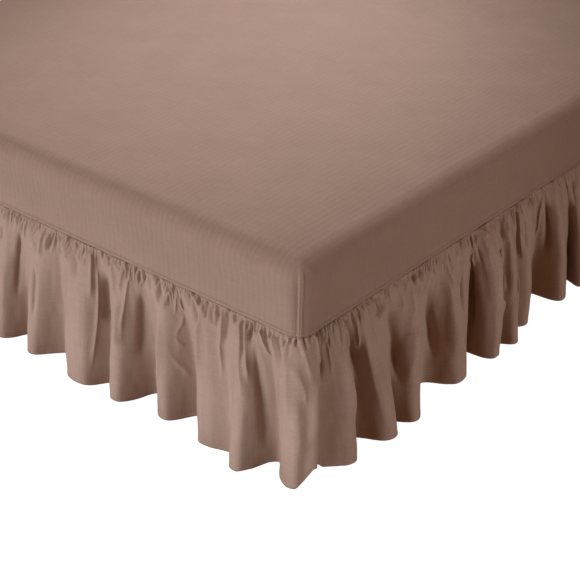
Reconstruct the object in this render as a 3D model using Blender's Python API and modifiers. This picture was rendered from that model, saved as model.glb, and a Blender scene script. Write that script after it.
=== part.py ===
"""Bed skirt with a fitted top, dressed over a plain mattress on a plain bed base.

Metres, +Z up, origin on the floor under the middle of the bed. The bed is 2.0 m along X and
1.8 m along Y. Places along the skirt's seam are measured round the bed, anticlockwise seen from
above, from the corner at -X, -Y: 0 to 2.0 along the -Y side, then the +X, +Y and -X sides.
"""

import math
from collections import namedtuple

import bmesh
import bpy
import numpy as np

# Bed and cover
BED_LENGTH = 2.0  # X, outside of the cover's walls
BED_WIDTH = 1.8  # Y
SEAM_HEIGHT = 0.372  # where the frill is sewn to the cover
BAND_HEIGHT = 0.180  # the cover's side wall, from the seam to its top
CORNER_RADIUS = 0.035  # the wall's upright corners, in plan
TOP_EDGE_RADIUS = 0.028
TOP_EDGE_STEPS = 4
CLOTH = 0.002  # thickness of the cover and of the frill
GAP = 0.0003  # between pieces that touch

# Raised seams of the cover
HEM_RIDGE_HEIGHT = 0.006  # stitched-down allowance above the frill seam
HEM_RIDGE_PROUD = 0.0015
WELT_HALF_WIDTH = 0.0035  # upright seam at each corner
WELT_PROUD = 0.002
WELT_SIDE = 0.0015  # width of the welt's slope

# Frill
FRILL_DROP = 0.360  # cut drop, from the seam to the hem
FRILL_ROWS = (0.0, 0.05, 0.14, 0.32, 0.62, 1.0)  # shares of the drop
STEPS_UP, STEPS_OVER, STEPS_DOWN = 3, 2, 3  # columns from a dip up, over and down a ridge
GATHER_SPREAD = 0.04  # cloth length over which the roots of the folds are evened out
EVEN_STEPS = 2400  # places where the gathering is worked out
LEAN = 1.3  # how much sooner a fold reaches its place than its full swell
TIP_FALL = 0.003  # how far a ridge's shoulders lie behind its crown
CURVE_STEPS = 12  # points between two named points when a fold's curve is measured

# Mattress, base and feet
MATTRESS_CORNER = 0.040
MATTRESS_EDGE = 0.034
BASE_INSET = 0.050
BASE_BOTTOM = 0.050
BASE_BEVEL = 0.008
FOOT_RADIUS = 0.030
FOOT_TAPER = 0.8  # radius at the floor over radius at the base
FOOT_SIDES = 24
FOOT_X = (-0.80, 0.0, 0.80)
FOOT_Y = (-0.70, 0.70)
BEVEL_STEPS = 4
SHARP_ANGLE = math.radians(40)
SAME_HEIGHT = 1e-6

# One row for each fold of the frill, first the dip before it and then its ridge. at = place along
# the seam at the hem, out = distance outside the seam line at the hem, crown = half width of the
# ridge's crown, swell = how high up the fold fills out, root = the ridge's place at the seam.
Fold = namedtuple("Fold", "dip_at dip_out ridge_at ridge_out crown swell root")
FRONT_FOLDS = (
    Fold(-1.160, 0.000, -1.090, 0.070, 0.012, 1.6, -1.075),
    Fold(-1.030, 0.005, -0.955, 0.066, 0.014, 1.6, -0.940),
    Fold(-0.905, -0.005, -0.832, 0.068, 0.012, 1.5, -0.810),
    Fold(-0.765, -0.005, -0.645, 0.084, 0.028, 2.0, -0.655),
    Fold(-0.575, 0.012, -0.515, 0.074, 0.012, 1.6, -0.510),
    Fold(-0.462, -0.022, -0.374, 0.053, 0.012, 1.4, -0.390),
    Fold(-0.318, -0.022, -0.225, 0.064, 0.016, 1.4, -0.275),
    Fold(-0.160, 0.042, -0.106, 0.096, 0.012, 1.4, -0.150),
    Fold(-0.048, 0.004, -0.004, 0.080, 0.001, 1.4, -0.025),
    Fold(0.032, 0.026, 0.112, 0.080, 0.010, 1.3, 0.110),
    Fold(0.195, 0.010, 0.248, 0.095, 0.014, 1.3, 0.215),
    Fold(0.300, 0.030, 0.340, 0.099, 0.012, 1.5, 0.400),
    Fold(0.490, 0.000, 0.560, 0.086, 0.020, 1.3, 0.590),
    Fold(0.715, 0.000, 0.695, 0.098, 0.012, 2.4, 0.755),
    Fold(0.765, 0.050, 0.797, 0.094, 0.010, 1.6, 0.850),
    Fold(0.860, 0.030, 0.905, 0.060, 0.010, 1.6, 0.935),
    Fold(1.080, -0.028, 1.084, 0.068, 0.012, 1.6, 1.040),
    Fold(1.195, 0.010, 1.182, 0.072, 0.012, 1.6, 1.170),
)

# The folds of the far sides, evened out between a start and an end place.
PERIMETER = 2 * (BED_LENGTH + BED_WIDTH)
Run = namedtuple("Run", "start end pitches corner_at_end")
FAR_RUNS = (
    Run(FRONT_FOLDS[-1].ridge_at, BED_LENGTH, 6, True),
    Run(BED_LENGTH, BED_LENGTH + BED_WIDTH, 13, True),
    Run(BED_LENGTH + BED_WIDTH, PERIMETER - BED_WIDTH, 14, True),
    Run(PERIMETER - BED_WIDTH, PERIMETER + FRONT_FOLDS[0].ridge_at, 5, False),
)
FAR_OUT, FAR_OUT_CHANGE = 0.083, 0.014
FAR_DIP, FAR_DIP_CHANGE = 0.004, 0.016
FAR_CROWN = 0.013
FAR_SWELL = 1.6
FAR_SHIFT = 0.16  # unevenness of a far fold's place, as a share of its pitch
FAR_LEAN = 0.02  # how far a far ridge's root lies to one side of it
CORNER_OUT, CORNER_CROWN = 0.082, 0.002

# The frill is cut as four widths of cloth, joined end to end in the bottom of a fold, and each
# goes round one corner. Each takes this many folds, starting with the first row above.
FRILL_WIDTHS = {"frill_front": 18, "frill_right": 12, "frill_back": 13, "frill_left": 12}

TAUPE = (0.40, 0.29, 0.245, 1.0)
TAUPE_BAND = (0.38, 0.275, 0.23, 1.0)
TICKING = (0.82, 0.80, 0.76, 1.0)
BASE_CLOTH = (0.45, 0.44, 0.43, 1.0)
FOOT_WOOD = (0.24, 0.15, 0.09, 1.0)


def clear_scene():
    for obj in list(bpy.data.objects):
        bpy.data.objects.remove(obj, do_unlink=True)


def make_material(name, color, roughness):
    material = bpy.data.materials.new(name)
    material.use_nodes = True
    shader = material.node_tree.nodes["Principled BSDF"]
    shader.inputs["Base Color"].default_value = color
    shader.inputs["Roughness"].default_value = roughness
    shader.inputs["Metallic"].default_value = 0.0
    return material


def add_object(name, mesh, collection, material):
    obj = bpy.data.objects.new(name, mesh)
    obj.data.materials.append(material)
    collection.objects.link(obj)
    return obj


def seam_point(at):
    """The plan point (x, y) and the outward direction at a place along the seam."""
    sides = (BED_LENGTH, BED_WIDTH, BED_LENGTH, BED_WIDTH)
    at = at % PERIMETER
    side = 0
    while at > sides[side]:
        at -= sides[side]
        side += 1
    half_x, half_y = BED_LENGTH / 2, BED_WIDTH / 2
    corners = ((-half_x, -half_y), (half_x, -half_y), (half_x, half_y), (-half_x, half_y))
    along = side * math.pi / 2
    outward = along - math.pi / 2
    from_start, from_end = at, sides[side] - at
    radius = CORNER_RADIUS
    if min(from_start, from_end) < radius:
        at_start = from_start < from_end
        turn = (radius - min(from_start, from_end)) / radius * math.pi / 4
        corner_x, corner_y = corners[side if at_start else (side + 1) % 4]
        centre_x = corner_x - math.copysign(radius, corner_x)
        centre_y = corner_y - math.copysign(radius, corner_y)
        outward += -turn if at_start else turn
        x = centre_x + radius * math.cos(outward)
        y = centre_y + radius * math.sin(outward)
    else:
        x = corners[side][0] + at * math.cos(along)
        y = corners[side][1] + at * math.sin(along)
    return x, y, math.cos(outward), math.sin(outward)


def far_folds():
    """Rows for the folds that the table leaves out, with a pointed fold at each far corner."""
    rows = []
    for run in FAR_RUNS:
        pitch = (run.end - run.start) / run.pitches
        for index in range(1, run.pitches):
            phase = 2.4 * (len(rows) + 1)
            ridge = run.start + pitch * (index + FAR_SHIFT * math.sin(phase))
            dip = ridge - pitch * (0.5 + FAR_SHIFT * math.cos(1.7 * phase))
            out = FAR_OUT + FAR_OUT_CHANGE * math.sin(1.3 * phase)
            low = FAR_DIP + FAR_DIP_CHANGE * math.cos(0.9 * phase)
            root = ridge + FAR_LEAN * math.sin(0.7 * phase)
            rows.append(Fold(dip, low, ridge, out, FAR_CROWN, FAR_SWELL, root))
        if run.corner_at_end:
            dip = run.end - pitch / 2
            rows.append(Fold(dip, FAR_DIP, run.end, CORNER_OUT, CORNER_CROWN, FAR_SWELL, run.end))
    return rows


def frill_folds():
    return list(FRONT_FOLDS) + far_folds()


def curve_between(before, start, end, after, share):
    """A point on the centripetal curve from start to end, at a share of the way."""
    knots = [0.0]
    for first, second in ((before, start), (start, end), (end, after)):
        knots.append(knots[-1] + math.sqrt(np.linalg.norm(second - first)))
    k0, k1, k2, k3 = knots
    k = k1 + (k2 - k1) * share
    a1 = ((k1 - k) * before + (k - k0) * start) / (k1 - k0)
    a2 = ((k2 - k) * start + (k - k1) * end) / (k2 - k1)
    a3 = ((k3 - k) * end + (k - k2) * after) / (k3 - k2)
    b1 = ((k2 - k) * a1 + (k - k0) * a2) / (k2 - k0)
    b2 = ((k3 - k) * a2 + (k - k1) * a3) / (k3 - k1)
    return ((k2 - k) * b1 + (k - k1) * b2) / (k2 - k1)


class FrillCurve:
    """The hem's line, unrolled: place along the seam and distance outside it, by cloth length.

    Each fold has three named points: its dip, and the two shoulders of its ridge.
    """

    def __init__(self, folds):
        named, swells, roots = [], [], []
        for before, fold in zip([folds[-1]] + folds[:-1], folds):
            shoulder = fold.ridge_out - TIP_FALL
            named.append((fold.dip_at, fold.dip_out))
            named.append((fold.ridge_at - fold.crown, shoulder))
            named.append((fold.ridge_at + fold.crown, shoulder))
            swells += [fold.swell] * 3
            root_before = before.root - (PERIMETER if before is folds[-1] else 0.0)
            roots += [(root_before + fold.root) / 2, fold.root - fold.crown, fold.root + fold.crown]
        ring = self.three_turns(np.array(named), np.array((PERIMETER, 0.0)))
        swells = self.three_turns(np.array(swells), 0.0)
        roots = self.three_turns(np.array(roots), PERIMETER)
        first, last = len(named), 2 * len(named)
        points = []
        for index in range(first, last):
            for step in range(CURVE_STEPS):
                points.append(curve_between(*ring[index - 1 : index + 3], step / CURVE_STEPS))
        points.append(ring[last])
        self.points = np.array(points)
        lengths = np.linalg.norm(np.diff(self.points, axis=0), axis=1)
        self.length = np.concatenate([[0.0], np.cumsum(lengths)])
        shares = np.arange(len(points)) / CURVE_STEPS
        self.swell = np.interp(shares, np.arange(last - first + 1), swells[first : last + 1])
        self.place_roots(np.interp(shares, np.arange(last - first + 1), roots[first : last + 1]))

    @staticmethod
    def three_turns(values, turn):
        return np.concatenate([values - turn, values, values + turn])

    def place_roots(self, roots):
        """The place along the seam that each length of cloth is gathered to, evened out."""
        total = self.length[-1]
        self.even = np.linspace(0.0, total, EVEN_STEPS)
        slope = PERIMETER / total
        excess = np.interp(self.even, self.length, roots) - self.even * slope
        spread = GATHER_SPREAD / total * EVEN_STEPS
        reach = int(3 * spread)
        weights = np.exp(-0.5 * (np.arange(-reach, reach + 1) / spread) ** 2)
        padded = np.concatenate([excess[-reach - 1 : -1], excess, excess[1 : reach + 1]])
        self.roots = np.convolve(padded, weights / weights.sum(), "valid") + self.even * slope

    def named_length(self, point, share):
        """Cloth length at a share of the way from one named point to the next."""
        return np.interp((point + share) * CURVE_STEPS, np.arange(len(self.length)), self.length)

    def column(self, length, rows):
        """The frill's points down one column, from the seam to the hem."""
        hem_at = np.interp(length, self.length, self.points[:, 0])
        hem_out = np.interp(length, self.length, self.points[:, 1])
        swell = np.interp(length, self.length, self.swell)
        root = np.interp(length, self.even, self.roots)
        column = []
        height = SEAM_HEIGHT - GAP
        last_out = last_row = 0.0
        for row in rows:
            place = root + (hem_at - root) * (1 - (1 - row) ** (swell * LEAN))
            out = hem_out * (1 - (1 - row) ** swell)
            step = (row - last_row) * FRILL_DROP
            height -= math.sqrt(max(step**2 - (out - last_out) ** 2, 0.0))
            x, y, out_x, out_y = seam_point(place)
            column.append((x + out_x * out, y + out_y * out, height))
            last_out, last_row = out, row
        return column


def sheet_mesh(name, columns):
    """One quad between each pair of neighbouring rows and columns, faces pointing outwards."""
    mesh = bmesh.new()
    grid = [[mesh.verts.new(point) for point in column] for column in columns]
    for left, right in zip(grid, grid[1:]):
        for row in range(len(left) - 1):
            mesh.faces.new((left[row], left[row + 1], right[row + 1], right[row]))
    data = bpy.data.meshes.new(name)
    mesh.to_mesh(data)
    mesh.free()
    return data


def thicken(obj):
    solidify = obj.modifiers.new("cloth", "SOLIDIFY")
    solidify.thickness = CLOTH
    solidify.offset = -1.0
    solidify.use_even_offset = True
    solidify.use_rim = True


def build_frill(collection, material):
    """The gathered frill, in the widths that are joined end to end."""
    folds = frill_folds()
    curve = FrillCurve(folds)
    first = 0
    for name, count in FRILL_WIDTHS.items():
        lengths = []
        for fold in range(first, first + count):
            for part, steps in enumerate((STEPS_UP, STEPS_OVER, STEPS_DOWN)):
                for step in range(steps):
                    lengths.append(curve.named_length(3 * fold + part, step / steps))
        lengths.append(curve.named_length(3 * (first + count), 0.0))
        lengths[0] += GAP / 2
        lengths[-1] -= GAP / 2
        columns = [curve.column(length, FRILL_ROWS) for length in lengths]
        frill = add_object(name, sheet_mesh(name, columns), collection, material)
        frill.data.shade_smooth()
        thicken(frill)
        first += count


def cover_columns():
    """Places round the wall, each with how far the corner welt stands out there."""
    corners = (0.0, BED_LENGTH, BED_LENGTH + BED_WIDTH, 2 * BED_LENGTH + BED_WIDTH)
    foot = WELT_HALF_WIDTH + WELT_SIDE
    around = (
        (-CORNER_RADIUS, 0.0),
        (-CORNER_RADIUS / 2, 0.0),
        (-foot, 0.0),
        (-WELT_HALF_WIDTH, WELT_PROUD),
        (WELT_HALF_WIDTH, WELT_PROUD),
        (foot, 0.0),
        (CORNER_RADIUS / 2, 0.0),
        (CORNER_RADIUS, 0.0),
    )
    return [(corner + offset, proud) for corner in corners for offset, proud in around]


def cover_profile():
    """Rings up the wall and over the top edge: height, inset, and the share of welt there."""
    seam, top = SEAM_HEIGHT, SEAM_HEIGHT + BAND_HEIGHT
    rings = [
        (seam, -HEM_RIDGE_PROUD, 1.0),
        (seam + HEM_RIDGE_HEIGHT, -HEM_RIDGE_PROUD, 1.0),
        (seam + HEM_RIDGE_HEIGHT + WELT_SIDE, 0.0, 1.0),
    ]
    for step in range(TOP_EDGE_STEPS + 1):
        angle = math.pi / 2 * step / TOP_EDGE_STEPS
        height = top - TOP_EDGE_RADIUS * (1 - math.sin(angle))
        inset = TOP_EDGE_RADIUS * (1 - math.cos(angle))
        rings.append((height, inset, 1.0 if step == 0 else 0.0))
    return rings


def build_cover(collection, material):
    """The fitted cover: flat top, soft top edge and one wall all round, open underneath."""
    mesh = bmesh.new()
    rings = []
    for height, inset, welt in cover_profile():
        ring = []
        for at, proud in cover_columns():
            x, y, out_x, out_y = seam_point(at)
            out = proud * welt - inset
            ring.append(mesh.verts.new((x + out_x * out, y + out_y * out, height)))
        rings.append(ring)
    for lower, upper in zip(rings, rings[1:]):
        for index in range(len(lower)):
            after = (index + 1) % len(lower)
            mesh.faces.new((lower[index], lower[after], upper[after], upper[index]))
    mesh.faces.new(rings[-1])
    data = bpy.data.meshes.new("fitted_cover")
    mesh.to_mesh(data)
    mesh.free()
    cover = add_object("fitted_cover", data, collection, material)
    cover.data.shade_smooth()
    cover.data.set_sharp_from_angle(angle=SHARP_ANGLE)
    thicken(cover)


def rise(edge):
    """The height between an edge's ends."""
    start, end = edge.verts
    return abs(start.co.z - end.co.z)


def rounded_block(name, low, high, upright_radius, edge_radius, collection, material):
    """A block whose upright edges, then all its other edges, are rounded."""
    mesh = bmesh.new()
    bmesh.ops.create_cube(mesh, size=1.0)
    for vert in mesh.verts:
        for axis in range(3):
            vert.co[axis] = low[axis] if vert.co[axis] < 0 else high[axis]
    upright = [edge for edge in mesh.edges if rise(edge) > SAME_HEIGHT]
    bmesh.ops.bevel(
        mesh, geom=upright, offset=upright_radius, segments=BEVEL_STEPS, profile=0.5, affect="EDGES"
    )
    level = [edge for edge in mesh.edges if rise(edge) <= SAME_HEIGHT]
    bmesh.ops.bevel(
        mesh, geom=level, offset=edge_radius, segments=BEVEL_STEPS, profile=0.5, affect="EDGES"
    )
    data = bpy.data.meshes.new(name)
    mesh.to_mesh(data)
    mesh.free()
    block = add_object(name, data, collection, material)
    block.data.shade_smooth()
    block.data.set_sharp_from_angle(angle=SHARP_ANGLE)


def build_bed(collection, ticking, base_cloth):
    half_x = BED_LENGTH / 2 - CLOTH - GAP
    half_y = BED_WIDTH / 2 - CLOTH - GAP
    top = SEAM_HEIGHT + BAND_HEIGHT - CLOTH - GAP
    rounded_block("mattress", (-half_x, -half_y, SEAM_HEIGHT), (half_x, half_y, top),
                  MATTRESS_CORNER, MATTRESS_EDGE, collection, ticking)
    half_x = BED_LENGTH / 2 - BASE_INSET
    half_y = BED_WIDTH / 2 - BASE_INSET
    rounded_block("bed_base", (-half_x, -half_y, BASE_BOTTOM),
                  (half_x, half_y, SEAM_HEIGHT - GAP), BASE_BEVEL, BASE_BEVEL,
                  collection, base_cloth)


def build_feet(collection, material):
    height = BASE_BOTTOM - GAP
    number = 0
    for x in FOOT_X:
        for y in FOOT_Y:
            number += 1
            mesh = bmesh.new()
            bmesh.ops.create_cone(mesh, cap_ends=True, segments=FOOT_SIDES, depth=height,
                                  radius1=FOOT_RADIUS * FOOT_TAPER, radius2=FOOT_RADIUS)
            data = bpy.data.meshes.new(f"foot_{number}")
            mesh.to_mesh(data)
            mesh.free()
            foot = add_object(f"foot_{number}", data, collection, material)
            foot.location = (x, y, height / 2)
            foot.data.shade_smooth()
            foot.data.set_sharp_from_angle(angle=SHARP_ANGLE)


def main():
    clear_scene()
    collection = bpy.data.collections.new("bed_skirt")
    bpy.context.scene.collection.children.link(collection)
    build_cover(collection, make_material("cover_cloth", TAUPE, 0.85))
    build_frill(collection, make_material("frill_cloth", TAUPE_BAND, 0.85))
    ticking = make_material("mattress_ticking", TICKING, 0.9)
    base_cloth = make_material("base_cloth", BASE_CLOTH, 0.9)
    build_bed(collection, ticking, base_cloth)
    build_feet(collection, make_material("foot_wood", FOOT_WOOD, 0.5))
    bpy.context.view_layer.update()


main()
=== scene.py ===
"""A bed skirt with a fitted top and a deep gathered frill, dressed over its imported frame.

Metres, +Z up, origin on the floor under the middle of the bed. Places along the skirt's seam are
measured round the bed, anticlockwise seen from above, from the corner at -X, -Y.
"""

import math
from collections import namedtuple

import bpy
import numpy as np
from mathutils import Matrix, Vector


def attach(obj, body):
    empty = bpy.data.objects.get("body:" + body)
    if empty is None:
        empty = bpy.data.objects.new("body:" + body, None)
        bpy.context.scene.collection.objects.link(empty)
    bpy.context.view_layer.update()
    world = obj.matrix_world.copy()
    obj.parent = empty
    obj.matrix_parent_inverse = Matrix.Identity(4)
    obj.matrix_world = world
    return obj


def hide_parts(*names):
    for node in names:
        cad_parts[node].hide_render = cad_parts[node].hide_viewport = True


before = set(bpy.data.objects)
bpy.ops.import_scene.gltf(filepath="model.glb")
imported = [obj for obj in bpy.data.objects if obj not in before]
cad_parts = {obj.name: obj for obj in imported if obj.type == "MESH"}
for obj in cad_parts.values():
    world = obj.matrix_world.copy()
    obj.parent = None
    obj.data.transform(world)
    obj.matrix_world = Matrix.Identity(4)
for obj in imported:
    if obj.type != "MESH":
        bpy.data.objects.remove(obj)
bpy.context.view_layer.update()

# ---------------------------------------------------------------- sizes of the bed and its cloth
BED_LENGTH, BED_WIDTH = 2.0, 1.8
PERIMETER = 2 * (BED_LENGTH + BED_WIDTH)
SIDES = (BED_LENGTH, BED_WIDTH, BED_LENGTH, BED_WIDTH)
CORNERS = (0.0, BED_LENGTH, BED_LENGTH + BED_WIDTH, 2 * BED_LENGTH + BED_WIDTH)
SEAM_HEIGHT = 0.372
BAND_HEIGHT = 0.180
CORNER_RADIUS = 0.035
GAP = 0.0003  # between the cover's lower edge and the frill
FRILL_DROP = 0.360

# ---------------------------------------------------------------- the frill's main folds
# One row for each fold, first the dip before it and then its ridge. at = place along the seam at
# the hem, out = distance outside the seam line at the hem, crown = half width of the ridge's
# crown, swell = how high up the fold fills out, root = the ridge's place at the seam.
Fold = namedtuple("Fold", "dip_at dip_out ridge_at ridge_out crown swell root")
FRONT_FOLDS = (
    Fold(-1.160, 0.000, -1.090, 0.070, 0.012, 1.6, -1.075),
    Fold(-1.030, 0.005, -0.955, 0.066, 0.014, 1.6, -0.940),
    Fold(-0.905, -0.005, -0.829, 0.068, 0.012, 1.3, -0.825),
    Fold(-0.765, -0.005, -0.643, 0.084, 0.028, 2.0, -0.674),
    Fold(-0.575, 0.012, -0.517, 0.074, 0.012, 1.7, -0.539),
    Fold(-0.462, -0.022, -0.376, 0.053, 0.012, 2.2, -0.407),
    Fold(-0.318, -0.022, -0.229, 0.064, 0.016, 2.0, -0.300),
    Fold(-0.160, 0.042, -0.107, 0.096, 0.012, 1.6, -0.150),
    Fold(-0.048, 0.004, -0.004, 0.087, 0.001, 1.4, -0.025),
    Fold(0.004, 0.073, 0.013, 0.077, 0.002, 1.4, 0.046),
    Fold(0.032, 0.026, 0.111, 0.080, 0.010, 1.5, 0.110),
    Fold(0.195, 0.010, 0.247, 0.095, 0.014, 1.2, 0.226),
    Fold(0.300, 0.030, 0.340, 0.099, 0.012, 1.2, 0.432),
    Fold(0.490, 0.000, 0.556, 0.083, 0.020, 1.2, 0.588),
    Fold(0.685, 0.000, 0.692, 0.098, 0.012, 2.4, 0.722),
    Fold(0.765, 0.050, 0.795, 0.094, 0.010, 1.2, 0.849),
    Fold(0.860, 0.030, 0.900, 0.060, 0.010, 2.2, 0.890),
    Fold(1.055, -0.028, 1.083, 0.068, 0.012, 1.4, 1.060),
    Fold(1.195, 0.010, 1.182, 0.072, 0.012, 1.6, 1.170),
)
# Where the corner fold's hem rides up: place along the seam, and how far.
HEM_LIFT = (
    (-0.100, 0.0), (-0.080, 0.009), (-0.064, 0.016), (-0.048, 0.013), (-0.030, 0.003),
    (-0.012, 0.0), (-0.004, 0.003), (0.004, 0.020), (0.013, 0.049), (0.022, 0.044),
    (0.032, 0.028), (0.050, 0.009), (0.090, 0.0),
)
HEM_LIFT_POWER = 1.5  # how much of the lift is left to the lowest part of the drop
# The rest of the way round has even folds, each varied a little by waves of different pace.
Run = namedtuple("Run", "start end pitches corner_at_end")
FAR_RUNS = (
    Run(FRONT_FOLDS[-1].ridge_at, BED_LENGTH, 6, True),
    Run(BED_LENGTH, BED_LENGTH + BED_WIDTH, 13, True),
    Run(BED_LENGTH + BED_WIDTH, PERIMETER - BED_WIDTH, 14, True),
    Run(PERIMETER - BED_WIDTH, PERIMETER + FRONT_FOLDS[0].ridge_at, 5, False),
)
FAR_OUT, FAR_OUT_CHANGE = 0.083, 0.014  # how far the ridges stand out, more or less
FAR_DIP, FAR_DIP_CHANGE = 0.004, 0.016  # the same for the dips
FAR_CROWN, FAR_SWELL = 0.013, 1.6
FAR_SHIFT = 0.16  # how far a ridge or dip may lie off its even place, as a share of the pitch
FAR_LEAN = 0.02  # how far a ridge may start to one side at the seam
PHASE_STEP, DIP_PACE, OUT_PACE, LOW_PACE, LEAN_PACE = 2.4, 1.7, 1.3, 0.9, 0.7
CORNER_OUT, CORNER_CROWN = 0.082, 0.002
# The line of the hem, and how the cloth above it runs to the seam.
CURVE_STEPS = 12  # points from each named point of the line to the next
TIP_FALL = 0.003  # how far a ridge's shoulders stand behind its tip
GATHER_SPREAD, EVEN_STEPS = 0.04, 2400  # cloth length over which the gathering is evened out
LEAN = 1.3  # above 1, a fold swings from its root to its place at the hem lower down

# The frill's pieces of cloth: name, the node it stands for, folds taken, and column spacing.
Strip = namedtuple("Strip", "name node folds column")
STRIPS = (
    Strip("frill_front_left", "frill_front", 5, 0.0021),
    Strip("frill_front_corner", "frill_front", 6, 0.0021),
    Strip("frill_front_right", "frill_front", 4, 0.0021),
    Strip("frill_front_far", "frill_front", 4, 0.0021),
    Strip("frill_right_cloth", "frill_right", 12, 0.0075),
    Strip("frill_back_cloth", "frill_back", 13, 0.0075),
    Strip("frill_left_cloth", "frill_left", 12, 0.0075),
)
CLOTH = 0.0012
BESIDE = 0.002  # how far to each side of a strip's end its direction is taken
# Rows down a strip, as shares of the drop: close under the seam, wider below, close at the hem.
SEAM_ROWS, HEM_ROWS = (0.0, 0.0035, 0.0065, 0.0100), (0.9685, 0.972, 0.978, 0.990, 1.0)
TOP_FROM, LOW_TO = 0.016, 0.965
FINE_ROWS, PLAIN_ROWS = (0.42, 0.0115, 31), (0.30, 0.018, 28)  # top's end, spacing, rows below

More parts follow.
